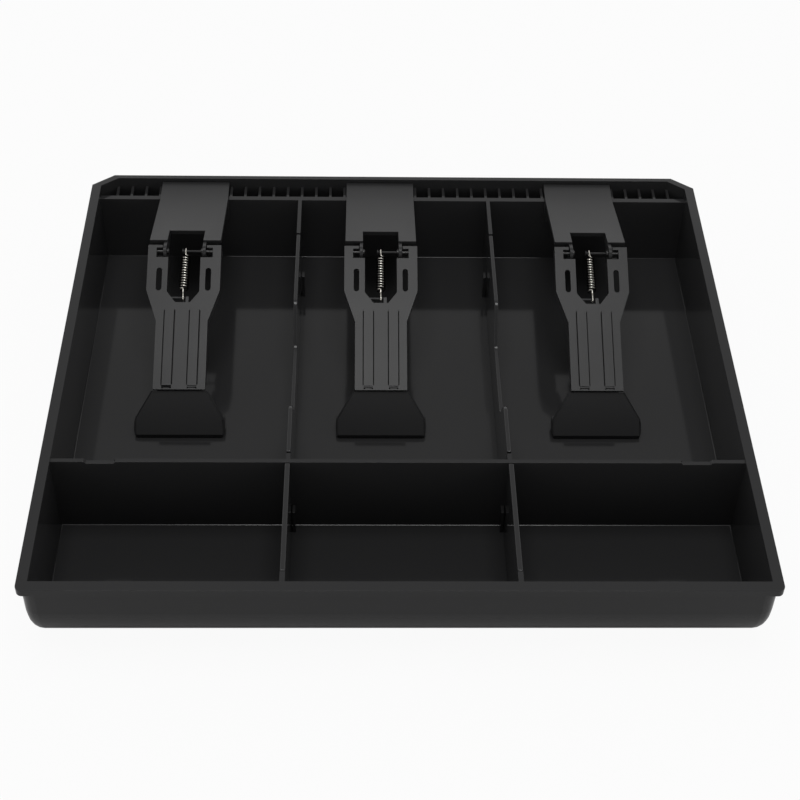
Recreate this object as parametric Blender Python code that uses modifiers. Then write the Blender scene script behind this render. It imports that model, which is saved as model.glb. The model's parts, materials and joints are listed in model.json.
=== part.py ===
"""Cash register tray: one moulded tray, four lift-out dividers and three sprung bill clips.

Metres, +Z up, +X to the right, -Y towards the user. The origin is on the resting plane,
under the middle of the tray.
"""
import math

import bmesh
import bpy
import numpy as np
from mathutils import Matrix

# Tray, outside
TRAY_WIDTH = 0.280
TRAY_DEPTH = 0.246
TRAY_HEIGHT = 0.040
LIP_HEIGHT = 0.0032
LIP_OVERHANG = 0.0010
REAR_LIP_OVERHANG = 0.0005
SIDE_RIM = 0.0041
FRONT_RIM = 0.0044
REAR_RIM = 0.0022
CHAMFER_RIM = 0.0030
CHAMFER_ACROSS = 0.0096
CHAMFER_BACK = 0.0074
LIP_CORNER_RADIUS = 0.0024
END_RADIUS = 0.0055
END_STEPS = 5
REAR_BOTTOM_RADIUS = 0.0065
FRONT_BOTTOM_RADIUS = 0.0250

# Tray, inside
FLOOR = 0.0020
FLOOR_RADIUS = 0.0003
TROUGH_WIDTH = 0.0081
TROUGH_DEPTH = 0.0140
RAIL_THICKNESS = 0.0026
RAIL_BELOW_RIM = 0.0040
BILL_BAY_LENGTH = 0.1672
CROSS_WALL = 0.0018
CROSS_WALL_BELOW_RIM = 0.0008
DIP_DEPTH = 0.0010
DIP_WIDTH = 0.0108
DIP_SLANT = 0.0008
DIP_FROM_SIDE = 0.0191
RIB_PITCH = 0.0066
RIB_THICKNESS = 0.0012
RIB_BELOW_RAIL = 0.0007
UNDERCUT_END = 0.0080

# Dividers and what holds them
MIDDLE_BAY_WIDTH = 0.0857
BILL_DIVIDER = 0.0017
COIN_DIVIDER = 0.0020
REAR_STUB = 0.0240
FRONT_STUB = 0.0062
COIN_STUB = 0.0054
STUB_GAP = 0.0010
GUIDE_HEIGHT = 0.0140
GUIDE_THICKNESS = 0.0012
GUIDE_GRIP = 0.0040
SCOOP_FLOOR = 0.0210
SCOOP_REAR_TOP = 0.0387
SCOOP_REAR_FOOT = 0.0262
SCOOP_FRONT_FOOT = -0.0136
SCOOP_FRONT_TOP = -0.0240
SCOOP_TOP_RADIUS = 0.0040
SCOOP_FOOT_RADIUS = 0.0030

# Clip bracket
CLIP_PLACES = {"left": -14, "centre": -1, "right": 13}
PLATE_WIDTH = 0.0311
PLATE_THICKNESS = 0.0020
PLATE_LEVEL_RUN = 0.0021
PLATE_RISE = 0.0102
PLATE_FRONT = 0.0448
PLATE_REAR_GAP = 0.0005
CUTOUT_WIDTH = 0.0157
CUTOUT_DEPTH = 0.0094
FRONT_LEG = 0.0100
TONGUE_DEPTH = 0.0110
TONGUE_THICKNESS = 0.0022
TONGUE_PITCHES = 2
EAR_THICKNESS = 0.0014
EAR_RADIUS = 0.0030
PIVOT_AHEAD = 0.0492
PIVOT_ABOVE_RAIL = 0.0097
PEG_BEHIND = 0.0037
PEG_BELOW = 0.0030
PEG_RADIUS = 0.0005
PEG_HEAD_RADIUS = 0.0011
PEG_PAST_MIDDLE = 0.0011
PEG_BOSS_RADIUS = 0.0024

# Pivot pins
PIN_RADIUS = 0.00075
PIN_HEAD_RADIUS = 0.0014
PIN_HEAD = 0.0008
PIN_SHORT_OF_SIDE = 0.0004

# Clip arm, in its own length and thickness
ARM_SLOPE = math.radians(25.5)
ARM_LENGTH = 0.0649
ARM_WIDTH = 0.0319
ARM_NECK_WIDTH = 0.0223
ARM_ABOVE_PIVOT = 0.0016
ARM_BELOW_PIVOT = 0.0026
ARM_SKIN = 0.0012
ARM_WALL = 0.0015
ARM_BEHIND_PIVOT = 0.0024
ARM_REAR_BAR = 0.0013
WINDOW_END = 0.0034
WINDOW_WIDTH = 0.00295
MOUTH_CLEARANCE = 0.00035
LIMB_OPENING = 0.0140
SHOULDER_START = 0.0190
SHOULDER_END = 0.0335
OPENING_TAPER_START = 0.0197
OPENING_END = 0.0247
OPENING_END_WIDTH = 0.0064
SLOT_WIDTH = 0.0024
SLOT_START = 0.0085
SLOT_END = 0.0193
SLOT_OFFSET = 0.01065
STRIP_WIDTH = 0.0040
STRIP_HEIGHT = 0.0004
STRIP_OFFSET = 0.0054
STRIP_START = 0.0280
STRIP_TO_END = 0.0018
GROOVE_WIDTH = 0.00045
GROOVE_DEPTH = 0.0006
CATCH_SLOT_LENGTH = 0.0007
CATCH_SLOT_TO_END = 0.0005
SKIRT_TO_END = 0.0034
ANCHOR_RADIUS = 0.00065
ANCHOR_FROM_PIVOT = 0.0219
ANCHOR_BELOW_PIVOT = 0.0006
ANCHOR_PAST_MIDDLE = 0.0007
POST_WIDTH = 0.0013
POST_GAP = 0.0005
POST_LENGTH = 0.0030

# Press foot
FOOT_WIDTH = 0.0384
FOOT_THICKNESS = 0.0018
FOOT_RUN = 0.0124
FOOT_PAST_ARM = 0.0003
FOOT_TOE = 0.0017
FOOT_CORNER_IN = 0.0013
FOOT_CORNER_UP = 0.0024
FOOT_SOLE = 0.0080
FOOT_SIDE_HEIGHT = 0.0054
FOOT_SHOULDER_RADIUS = 0.0035
FOOT_EDGE_RADIUS = 0.0012
FOOT_CHEEK = 0.0016
FOOT_CHEEK_DEPTH = 0.0040
FOOT_MOUNT_LENGTH = 0.0110
CATCH_THICKNESS = 0.0004
CATCH_WIDTH = 0.0028
CATCH_SHORT = 0.0005

# Tension spring
SPRING_WIRE = 0.0006
SPRING_OUTER = 0.0042
SPRING_TURNS = 13
SPRING_PITCH = 0.0013
SPRING_START = 0.0032
SPRING_POINTS = 9
HOOK_CLEARANCE = 0.0003
HOOK_POINTS = 8
HOOK_TURN = math.radians(225)

# Clearances and overlaps
SEAT_GAP = 0.0003
FIT_GAP = 0.0001
MERGE = 0.000001
FLAT_ANGLE = math.radians(0.01)
END_COSINE = 0.99
BITE = 0.0005
PAST = 0.0100

# Places that follow from the sizes
HALF_WIDTH = TRAY_WIDTH / 2
FRONT_FACE = -TRAY_DEPTH / 2
REAR_FACE = TRAY_DEPTH / 2
INNER_SIDE = HALF_WIDTH - SIDE_RIM
INNER_FRONT = FRONT_FACE + FRONT_RIM
INNER_REAR = REAR_FACE - REAR_RIM
RAIL_REAR = INNER_REAR - TROUGH_WIDTH
RAIL_FACE = RAIL_REAR - RAIL_THICKNESS
RAIL_TOP = TRAY_HEIGHT - RAIL_BELOW_RIM
TROUGH_FLOOR = RAIL_TOP - TROUGH_DEPTH
CROSS_REAR = RAIL_FACE - BILL_BAY_LENGTH
CROSS_FRONT = CROSS_REAR - CROSS_WALL
CROSS_TOP = TRAY_HEIGHT - CROSS_WALL_BELOW_RIM
FRONT_WALL = FRONT_RIM - LIP_OVERHANG
SCOOP_RADIUS = FRONT_BOTTOM_RADIUS - FRONT_WALL
SCOOP_CENTRE_Y = INNER_FRONT + SCOOP_RADIUS
SCOOP_CENTRE_Z = FLOOR + SCOOP_RADIUS
BILL_DIVIDER_X = (MIDDLE_BAY_WIDTH + BILL_DIVIDER) / 2
BILL_DIVIDER_REAR = RAIL_FACE - REAR_STUB - STUB_GAP
BILL_DIVIDER_FRONT = CROSS_REAR + FRONT_STUB + STUB_GAP
COIN_DIVIDER_REAR = CROSS_FRONT - SEAT_GAP
COIN_DIVIDER_FRONT = INNER_FRONT + COIN_STUB + SEAT_GAP
PIVOT_Y = RAIL_FACE - PIVOT_AHEAD
PIVOT_Z = RAIL_TOP + PIVOT_ABOVE_RAIL
PEG_Y = PIVOT_Y + PEG_BEHIND
PEG_Z = PIVOT_Z - PEG_BELOW
EAR_INNER = CUTOUT_WIDTH / 2
EAR_OUTER = EAR_INNER + EAR_THICKNESS
MOUTH_HALF = EAR_OUTER + MOUTH_CLEARANCE
WINDOW_SIDE = MOUTH_HALF + WINDOW_WIDTH - MOUTH_CLEARANCE
ARM_TOP = ARM_ABOVE_PIVOT
ARM_BOTTOM = -ARM_BELOW_PIVOT
FOOT_SOLE_Z = FLOOR + SEAT_GAP

# Views that an outline is drawn in: plan is X and Y, side is Y and Z, front is X and Z
PLAN = Matrix.Identity(4)
SIDE = Matrix(((0, 0, 1, 0), (1, 0, 0, 0), (0, 1, 0, 0), (0, 0, 0, 1)))
FRONT = Matrix(((1, 0, 0, 0), (0, 0, -1, 0), (0, 1, 0, 0), (0, 0, 0, 1)))


def clear_scene():
    """Removes every object, so that the script can be run again in the same file."""
    for item in list(bpy.data.objects):
        bpy.data.objects.remove(item, do_unlink=True)


def new_collection(name):
    """Gives an empty collection of this name in the scene."""
    group = bpy.data.collections.new(name)
    bpy.context.scene.collection.children.link(group)
    return group


def plastic(name, grey, roughness):
    """Gives a moulded plastic of one grey."""
    return principled(name, (grey, grey, grey * 1.03, 1.0), roughness, 0.0)


def principled(name, colour, roughness, metallic):
    """Gives a Principled material."""
    finish = bpy.data.materials.new(name)
    finish.use_nodes = True
    shader = finish.node_tree.nodes["Principled BSDF"]
    shader.inputs["Base Color"].default_value = colour
    shader.inputs["Roughness"].default_value = roughness
    shader.inputs["Metallic"].default_value = metallic
    return finish


def arc(centre, radius, start, end, steps):
    """Gives the points of an arc, its angles in radians, both ends included."""
    angles = [start + (end - start) * step / steps for step in range(steps + 1)]
    return [(centre[0] + radius * math.cos(a), centre[1] + radius * math.sin(a)) for a in angles]


def rounded(corners):
    """Gives an outline from corners of (across, up, radius), with the round ones as arcs."""
    points = []
    for index, (across, up, radius) in enumerate(corners):
        here = np.array((across, up))
        if radius == 0.0:
            points.append((across, up))
            continue
        before = np.array(corners[index - 1][:2]) - here
        after = np.array(corners[(index + 1) % len(corners)][:2]) - here
        before = before / np.linalg.norm(before)
        after = after / np.linalg.norm(after)
        half = math.acos(float(np.clip(before @ after, -1.0, 1.0))) / 2
        middle = before + after
        centre = here + middle / np.linalg.norm(middle) * radius / math.sin(half)
        start = here + before * radius / math.tan(half) - centre
        end = here + after * radius / math.tan(half) - centre
        first = math.atan2(start[1], start[0])
        turn = math.atan2(end[1], end[0]) - first
        turn = (turn + math.pi) % (2 * math.pi) - math.pi
        steps = max(2, round(abs(turn) * math.sqrt(radius) * 80))
        points.extend(arc(centre, radius, first, first + turn, steps))
    return points


def as_mesh(shape):
    """Swaps a curve object for a mesh object with the same place, its caps welded."""
    mesh = bpy.data.meshes.new_from_object(shape.evaluated_get(bpy.context.evaluated_depsgraph_get()))
    work = bmesh.new()
    work.from_mesh(mesh)
    bmesh.ops.remove_doubles(work, verts=work.verts, dist=MERGE)
    bmesh.ops.recalc_face_normals(work, faces=work.faces)
    work.to_mesh(mesh)
    work.free()
    solid = bpy.data.objects.new(shape.name + "_solid", mesh)
    solid.matrix_world = shape.matrix_world
    shape.users_collection[0].objects.link(solid)
    bpy.data.objects.remove(shape, do_unlink=True)
    return solid


def outline(name, loops, depth, view, along=0.0):
    """Gives a solid of these outlines, inner ones being holes, extruded to a depth in a view."""
    curve = bpy.data.curves.new(name, "CURVE")
    curve.dimensions = "2D"
    curve.fill_mode = "BOTH"
    curve.extrude = depth / 2
    for loop in loops:
        spline = curve.splines.new("POLY")
        spline.points.add(len(loop) - 1)
        for point, (across, up) in zip(spline.points, loop):
            point.co = (across, up, 0.0, 1.0)
        spline.use_cyclic_u = True
    shape = bpy.data.objects.new(name, curve)
    shape.matrix_world = view @ Matrix.Translation((0.0, 0.0, along))
    tools.objects.link(shape)
    bpy.context.view_layer.update()
    return as_mesh(shape)


def boxes(name, spans):
    """Gives one mesh object of separate boxes, each from its lowest to its highest corner."""
    work = bmesh.new()
    for low, high in spans:
        middle = [(a + b) / 2 for a, b in zip(low, high)]
        size = [b - a for a, b in zip(low, high)]
        place = Matrix.Translation(middle) @ Matrix.Diagonal((*size, 1.0))
        bmesh.ops.create_cube(work, size=1.0, matrix=place)
    return from_bmesh(name, work)


def rods(name, spans, sides=16):
    """Gives one mesh object of separate cylinders along X: (start x, end x, y, z, radius)."""
    work = bmesh.new()
    for start, end, y, z, radius in spans:
        place = Matrix.Translation(((start + end) / 2, y, z)) @ Matrix.Rotation(math.pi / 2, 4, "Y")
        bmesh.ops.create_cone(work, cap_ends=True, segments=sides, radius1=radius,
                              radius2=radius, depth=end - start, matrix=place)
    return from_bmesh(name, work)


def from_bmesh(name, work):
    """Makes a tool object from a bmesh."""
    mesh = bpy.data.meshes.new(name)
    work.to_mesh(mesh)
    work.free()
    shape = bpy.data.objects.new(name, mesh)
    tools.objects.link(shape)
    return shape


def combine(shape, operation, others):
    """Joins, cuts or keeps a shape by others, each with an exact Boolean."""
    for other in others:
        step = shape.modifiers.new(other.name, "BOOLEAN")
        step.operation = operation
        step.object = other
        other.hide_render = True
        other.display_type = "WIRE"
    return shape


def baked(name, shape):
    """Gives the evaluated mesh of a shape, in world places, under a name."""
    bpy.context.view_layer.update()
    evaluated = shape.evaluated_get(bpy.context.evaluated_depsgraph_get())
    mesh = bpy.data.meshes.new_from_object(evaluated)
    mesh.transform(shape.matrix_world)
    mesh.name = name
    return mesh


def clear_tools():
    """Removes the shapes that only served to make a finished mesh."""
    for item in list(tools.objects):
        bpy.data.objects.remove(item, do_unlink=True)


def place(name, mesh, finish, parent=None, location=(0.0, 0.0, 0.0), slope=0.0):
    """Puts a finished piece in the model, turned about X by its slope."""
    piece = bpy.data.objects.new(name, mesh)
    if not mesh.materials:
        mesh.materials.append(finish)
    piece.parent = parent
    piece.location = location
    piece.rotation_euler = (slope, 0.0, 0.0)
    model.objects.link(piece)
    return piece


# Tray body

def plan_outline(side, front, rear, chamfer, corner):
    """Gives the tray's plan, inset by these amounts from its largest outline."""
    half = HALF_WIDTH - side
    low = FRONT_FACE + front
    high = REAR_FACE - rear
    length = math.hypot(CHAMFER_ACROSS, CHAMFER_BACK)
    lean = (CHAMFER_BACK / length, CHAMFER_ACROSS / length)
    reach = lean[0] * (HALF_WIDTH - CHAMFER_ACROSS) + lean[1] * REAR_FACE - chamfer
    rear_x = (reach - lean[1] * high) / lean[0]
    side_y = (reach - lean[0] * half) / lean[1]
    return rounded([(-half, low, corner), (half, low, corner), (half, side_y, 0.0),
                    (rear_x, high, 0.0), (-rear_x, high, 0.0), (-half, side_y, 0.0)])


def front_outline(half, bottom, radius):
    """Gives a section across the tray's inside, past the rim, with round bottom edges."""
    top = TRAY_HEIGHT + PAST
    return rounded([(-half, bottom, radius), (half, bottom, radius), (half, top, 0.0), (-half, top, 0.0)])


def scoop_z(y, below):
    """Gives the height of a line this far below the coin floor, which curves up to the front."""
    ahead = min(y - SCOOP_CENTRE_Y, 0.0)
    return SCOOP_CENTRE_Z - math.sqrt((SCOOP_RADIUS + below) ** 2 - ahead ** 2)


def on_coin_floor(front, rear, top, below):
    """Gives a side outline that stands on the coin floor, or this far below it."""
    steps = 24
    floor = [front + (rear - front) * step / steps for step in range(steps + 1)]
    return [(y, scoop_z(y, below)) for y in floor] + [(rear, top), (front, top)]


def round_ends(block):
    """Rounds both ends of a block drawn in side view, all but their top edges."""
    work = bmesh.new()
    work.from_mesh(block.data)
    bmesh.ops.dissolve_limit(work, angle_limit=FLAT_ANGLE, verts=work.verts, edges=work.edges)
    edges = []
    for edge in work.edges:
        normals = [face.normal for face in edge.link_faces]
        if max(abs(n.z) for n in normals) > END_COSINE and max(n.y for n in normals) < END_COSINE:
            if min(abs(n.z) for n in normals) < 1 - END_COSINE:
                edges.append(edge)
    bmesh.ops.bevel(work, geom=edges, offset=END_RADIUS, offset_type="OFFSET", segments=END_STEPS,
                    profile=0.5, affect="EDGES", clamp_overlap=False)
    work.to_mesh(block.data)
    work.free()


def tray_outside():
    """The tray as a solid block with round ends and rear chamfers, and its lip."""
    front = FRONT_FACE + LIP_OVERHANG
    rear = REAR_FACE - REAR_LIP_OVERHANG
    side = rounded([(rear, 0.0, REAR_BOTTOM_RADIUS), (rear, TRAY_HEIGHT, 0.0),
                    (front, TRAY_HEIGHT, 0.0), (front, 0.0, FRONT_BOTTOM_RADIUS)])
    block = outline("block", [side], TRAY_WIDTH - 2 * LIP_OVERHANG, SIDE)
    round_ends(block)
    plan = plan_outline(-PAST, -PAST, -PAST, LIP_OVERHANG, 0.0)
    lip = plan_outline(0.0, 0.0, 0.0, 0.0, LIP_CORNER_RADIUS)
    combine(block, "INTERSECT", [outline("block_plan", [plan], 4 * TRAY_HEIGHT, PLAN)])
    combine(block, "UNION", [outline("lip", [lip], LIP_HEIGHT, PLAN, TRAY_HEIGHT - LIP_HEIGHT / 2)])
    return block


def tray_inside():
    """What is hollow: the bill bay, the trough behind its rail, and the scooped coin bay."""
    top = TRAY_HEIGHT + PAST
    edge = FLOOR_RADIUS
    side = rounded([
        (INNER_REAR, top, 0.0), (INNER_REAR, TROUGH_FLOOR, 0.0), (RAIL_REAR, TROUGH_FLOOR, 0.0),
        (RAIL_REAR, RAIL_TOP, 0.0), (RAIL_FACE, RAIL_TOP, 0.0), (RAIL_FACE, FLOOR, edge),
        (CROSS_REAR, FLOOR, edge), (CROSS_REAR, CROSS_TOP, 0.0), (CROSS_FRONT, CROSS_TOP, 0.0),
        (CROSS_FRONT, FLOOR, edge), (INNER_FRONT, FLOOR, SCOOP_RADIUS), (INNER_FRONT, top, 0.0)])
    hollow = outline("hollow", [side], TRAY_WIDTH, SIDE)
    plan = plan_outline(SIDE_RIM, FRONT_RIM, REAR_RIM, CHAMFER_RIM, FLOOR_RADIUS)
    across = front_outline(INNER_SIDE, FLOOR, FLOOR_RADIUS)
    combine(hollow, "INTERSECT", [outline("hollow_plan", [plan], 4 * TRAY_HEIGHT, PLAN),
                                  outline("hollow_front", [across], 2 * TRAY_DEPTH, FRONT)])
    return hollow


def wall_dips():
    """A shallow dip in the cross wall's top near each end."""
    dips = []
    for side in (-1, 1):
        near = side * (INNER_SIDE - DIP_FROM_SIDE + DIP_WIDTH / 2)
        far = near - side * DIP_WIDTH
        corners = [(near + side * DIP_SLANT, CROSS_TOP + PAST), (near + side * DIP_SLANT, CROSS_TOP),
                   (near, CROSS_TOP - DIP_DEPTH), (far, CROSS_TOP - DIP_DEPTH),
                   (far - side * DIP_SLANT, CROSS_TOP), (far - side * DIP_SLANT, CROSS_TOP + PAST)]
        middle = (CROSS_REAR + CROSS_FRONT) / 2
        dips.append(outline("dip", [corners], 2 * CROSS_WALL, FRONT, -middle))
    return dips


def under_trough():
    """The open channel in the underside, between the rail and the rear wall."""
    half = INNER_SIDE - UNDERCUT_END
    low = (-half, RAIL_REAR, -PAST)
    high = (half, INNER_REAR, TROUGH_FLOOR - FLOOR)
    return boxes("under_trough", [(low, high)])


def comb():
    """The ribs across the trough that index the clips."""
    reach = INNER_SIDE - CHAMFER_ACROSS
    count = int((reach + RIB_PITCH) / RIB_PITCH)
    spans = []
    for index in range(count):
        for side in (-1, 1):
            x = side * (index + 0.5) * RIB_PITCH
            low = (x - RIB_THICKNESS / 2, RAIL_REAR - BITE, TROUGH_FLOOR - BITE)
            high = (x + RIB_THICKNESS / 2, INNER_REAR + BITE, RAIL_TOP - RIB_BELOW_RAIL)
            spans.append((low, high))
    return boxes("comb", spans)


def bill_stubs():
    """The fixed ends of the bill dividers, in line with them."""
    spans = []
    half = BILL_DIVIDER / 2
    for x in (-BILL_DIVIDER_X, BILL_DIVIDER_X):
        for low, high in ((BILL_DIVIDER_REAR + STUB_GAP, RAIL_FACE + BITE),
                          (CROSS_REAR - BITE, BILL_DIVIDER_FRONT - STUB_GAP)):
            spans.append(((x - half, low, FLOOR - BITE), (x + half, high, RAIL_TOP)))
    return boxes("bill_stubs", spans)


def guide_sides(x, thickness):
    """Gives where the two guide ribs beside a divider lie across the tray."""
    near = thickness / 2 + SEAT_GAP
    return [sorted((x + side * near, x + side * (near + GUIDE_THICKNESS))) for side in (-1, 1)]


def bill_guides():
    """Low ribs that hold each bill divider's ends between them."""
    spans = []
    for x in (-BILL_DIVIDER_X, BILL_DIVIDER_X):
        for left, right in guide_sides(x, BILL_DIVIDER):
            for low, high in ((BILL_DIVIDER_REAR - GUIDE_GRIP, BILL_DIVIDER_REAR),
                              (BILL_DIVIDER_FRONT, BILL_DIVIDER_FRONT + GUIDE_GRIP)):
                spans.append(((left, low, FLOOR - BITE), (right, high, GUIDE_HEIGHT)))
    return boxes("bill_guides", spans)


def coin_holds():
    """The fixed front ends of the coin dividers, and the low ribs beside both of their ends."""
    shapes = []
    below = FLOOR / 2
    for x in (-BILL_DIVIDER_X, BILL_DIVIDER_X):
        stub = on_coin_floor(INNER_FRONT - BITE, INNER_FRONT + COIN_STUB, CROSS_TOP, below)
        shapes.append(outline("coin_stub", [stub], COIN_DIVIDER, SIDE, x))
        for left, right in guide_sides(x, COIN_DIVIDER):
            middle = (left + right) / 2
            rear = on_coin_floor(CROSS_FRONT - GUIDE_GRIP, CROSS_FRONT + BITE, GUIDE_HEIGHT, below)
            front = on_coin_floor(COIN_DIVIDER_FRONT, COIN_DIVIDER_FRONT + GUIDE_GRIP, GUIDE_HEIGHT, below)
            for loop in (rear, front):
                shapes.append(outline("coin_guide", [loop], GUIDE_THICKNESS, SIDE, middle))
    return shapes


def tray_mesh():
    """The whole moulding."""
    tray = tray_outside()
    combine(tray, "DIFFERENCE", [tray_inside(), *wall_dips(), under_trough()])
    combine(tray, "UNION", [comb(), bill_stubs(), bill_guides(), *coin_holds()])
    return baked("tray_body", tray)


# Dividers

def bill_divider_mesh():
    """A thin wall with a finger scoop, which drops between its guides."""
    bottom = FLOOR + SEAT_GAP
    loop = rounded([
        (BILL_DIVIDER_FRONT, bottom, 0.0), (BILL_DIVIDER_REAR, bottom, 0.0),
        (BILL_DIVIDER_REAR, RAIL_TOP, 0.0), (SCOOP_REAR_TOP, RAIL_TOP, SCOOP_TOP_RADIUS),
        (SCOOP_REAR_FOOT, SCOOP_FLOOR, SCOOP_FOOT_RADIUS),
        (SCOOP_FRONT_FOOT, SCOOP_FLOOR, SCOOP_FOOT_RADIUS),
        (SCOOP_FRONT_TOP, RAIL_TOP, SCOOP_TOP_RADIUS), (BILL_DIVIDER_FRONT, RAIL_TOP, 0.0)])
    return baked("bill_divider", outline("bill_divider", [loop], BILL_DIVIDER, SIDE))


def coin_divider_mesh():
    """A thin wall whose foot follows the curved coin floor."""
    foot = on_coin_floor(COIN_DIVIDER_FRONT, COIN_DIVIDER_REAR - FLOOR_RADIUS, CROSS_TOP, -SEAT_GAP)[:-2]
    corner = (COIN_DIVIDER_REAR, FLOOR + SEAT_GAP + FLOOR_RADIUS)
    loop = foot + [corner, (COIN_DIVIDER_REAR, CROSS_TOP), (COIN_DIVIDER_FRONT, CROSS_TOP)]
    return baked("coin_divider", outline("coin_divider", [loop], COIN_DIVIDER, SIDE))


# Clip bracket, drawn with X = 0 at its middle

def plate_line(y):
    """Gives the height of the bracket plate's underside: level over the rail, then rising."""
    level = RAIL_TOP + SEAT_GAP
    start = RAIL_FACE - PLATE_LEVEL_RUN
    front = RAIL_FACE - PLATE_FRONT
    return level + PLATE_RISE * max(0.0, start - y) / (start - front)


def plate_side():
    """The plate and the leg in front of the rail, from the side."""
    rear = INNER_REAR - PLATE_REAR_GAP
    front = RAIL_FACE - PLATE_FRONT
    bend = RAIL_FACE - PLATE_LEVEL_RUN
    leg_rear = RAIL_FACE - SEAT_GAP
    leg_front = leg_rear - PLATE_THICKNESS
    leg_foot = RAIL_TOP - FRONT_LEG
    top = [(y, plate_line(y) + PLATE_THICKNESS) for y in (rear, bend, front)]
    under = [(y, plate_line(y)) for y in (front, leg_front)]
    leg = [(leg_front, leg_foot), (leg_rear, leg_foot)]
    return top + under + leg + [(y, plate_line(y)) for y in (leg_rear, rear)]


def ear_side():
    """An ear from the side: round at the pivot and at the spring's peg, and blended into the plate."""
    cutout_rear = RAIL_FACE - PLATE_FRONT + CUTOUT_DEPTH
    inside = cutout_rear + 2 * PLATE_THICKNESS
    nose = arc((PIVOT_Y, PIVOT_Z), EAR_RADIUS, math.radians(75), math.radians(235), 10)
    boss = arc((PEG_Y, PEG_Z), PEG_BOSS_RADIUS, math.radians(235), math.radians(285), 3)
    skin = PLATE_THICKNESS / 2
    root = [(inside, plate_line(inside) + skin / 2), (cutout_rear, plate_line(cutout_rear) + skin)]
    return nose + boss + root


def bracket_mesh():
    """Plate, rail leg, tongues in the comb, ears, and the peg that the spring hooks on."""
    bracket = outline("plate", [plate_side()], PLATE_WIDTH, SIDE)
    front = RAIL_FACE - PLATE_FRONT
    cutout_low = (-EAR_INNER, front - PAST, 0.0)
    cutout_high = (EAR_INNER, front + CUTOUT_DEPTH, TRAY_HEIGHT + PAST)
    combine(bracket, "DIFFERENCE", [boxes("cutout", [(cutout_low, cutout_high)])])
    ears = [outline("ear", [ear_side()], EAR_THICKNESS, SIDE, side * (EAR_INNER + EAR_OUTER) / 2)
            for side in (-1, 1)]
    tongue_half = (RIB_PITCH - RIB_THICKNESS) / 2 - BITE
    tongue_front = RAIL_REAR + SEAT_GAP
    level = RAIL_TOP + SEAT_GAP
    tongues = []
    for side in (-1, 1):
        x = side * TONGUE_PITCHES * RIB_PITCH
        low = (x - tongue_half, tongue_front, RAIL_TOP - TONGUE_DEPTH)
        tongues.append((low, (x + tongue_half, tongue_front + TONGUE_THICKNESS, level + BITE)))
    peg_end = -PEG_PAST_MIDDLE
    peg = rods("peg", [(peg_end - BITE / 2, EAR_INNER + BITE, PEG_Y, PEG_Z, PEG_RADIUS)])
    head = rods("peg_head", [(peg_end - BITE, peg_end, PEG_Y, PEG_Z, PEG_HEAD_RADIUS)])
    combine(bracket, "UNION", [*ears, boxes("tongues", tongues), peg, head])
    bore = PIN_RADIUS + FIT_GAP
    near = EAR_INNER - BITE
    far = EAR_OUTER + BITE
    bores = rods("pin_bores", [(-far, -near, PIVOT_Y, PIVOT_Z, bore), (near, far, PIVOT_Y, PIVOT_Z, bore)])
    combine(bracket, "DIFFERENCE", [bores])
    return baked("clip_bracket", bracket)


# Pivot pin, drawn from its head along +X

def pin_mesh():
    """A headed pin, turned about its own axis: its head inside the ear, its end in the arm."""
    end = ARM_WIDTH / 2 - PIN_SHORT_OF_SIDE - EAR_INNER + FIT_GAP
    dome = PIN_HEAD / 2
    profile = [(0.0, -PIN_HEAD), (PIN_HEAD_RADIUS - dome, -PIN_HEAD), (PIN_HEAD_RADIUS, -dome),
               (PIN_HEAD_RADIUS, 0.0), (PIN_RADIUS, 0.0), (PIN_RADIUS, end - PIN_RADIUS / 2),
               (PIN_RADIUS / 2, end), (0.0, end)]
    mesh = bpy.data.meshes.new("pin_profile")
    mesh.from_pydata([(r, 0.0, z) for r, z in reversed(profile)],
                     [(index, index + 1) for index in range(len(profile) - 1)], [])
    pin = bpy.data.objects.new("pin", mesh)
    tools.objects.link(pin)
    turn = pin.modifiers.new("turn", "SCREW")
    turn.steps = 16
    turn.render_steps = 16
    turn.use_merge_vertices = True
    turn.merge_threshold = MERGE
    turned = baked("pivot_pin", pin)
    turned.transform(Matrix.Rotation(math.pi / 2, 4, "Y"))
    return turned


# Clip arm, drawn along -Y from its pivot, before it takes its slope

def arm_plan():
    """The arm's plan: two limbs round the spring, a shoulder and a neck, with the window notches."""
    half = ARM_WIDTH / 2
    neck = ARM_NECK_WIDTH / 2
    limb = LIMB_OPENING / 2
    end = OPENING_END_WIDTH / 2
    window = -ARM_BEHIND_PIVOT + ARM_REAR_BAR
    outside = [(MOUTH_HALF, -ARM_BEHIND_PIVOT), (half, -ARM_BEHIND_PIVOT), (half, SHOULDER_START),
               (neck, SHOULDER_END), (neck, ARM_LENGTH)]
    inside = [(end, OPENING_END), (limb, OPENING_TAPER_START), (limb, WINDOW_END),
              (WINDOW_SIDE, WINDOW_END), (WINDOW_SIDE, window), (MOUTH_HALF, window)]
    right = [(x, -s) for x, s in outside]
    left = [(-x, -s) for x, s in reversed(outside)]
    right_inside = [(x, -s) for x, s in inside]
    left_inside = [(-x, -s) for x, s in reversed(inside)]
    return right + left + left_inside + right_inside


def slot_loop(side):
    """A round-ended slot in one limb."""
    radius = SLOT_WIDTH / 2
    x = side * SLOT_OFFSET
    near = arc((x, -SLOT_START - radius), radius, 0.0, math.pi, 6)
    far = arc((x, -SLOT_END + radius), radius, math.pi, 2 * math.pi, 6)
    return near + far


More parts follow.
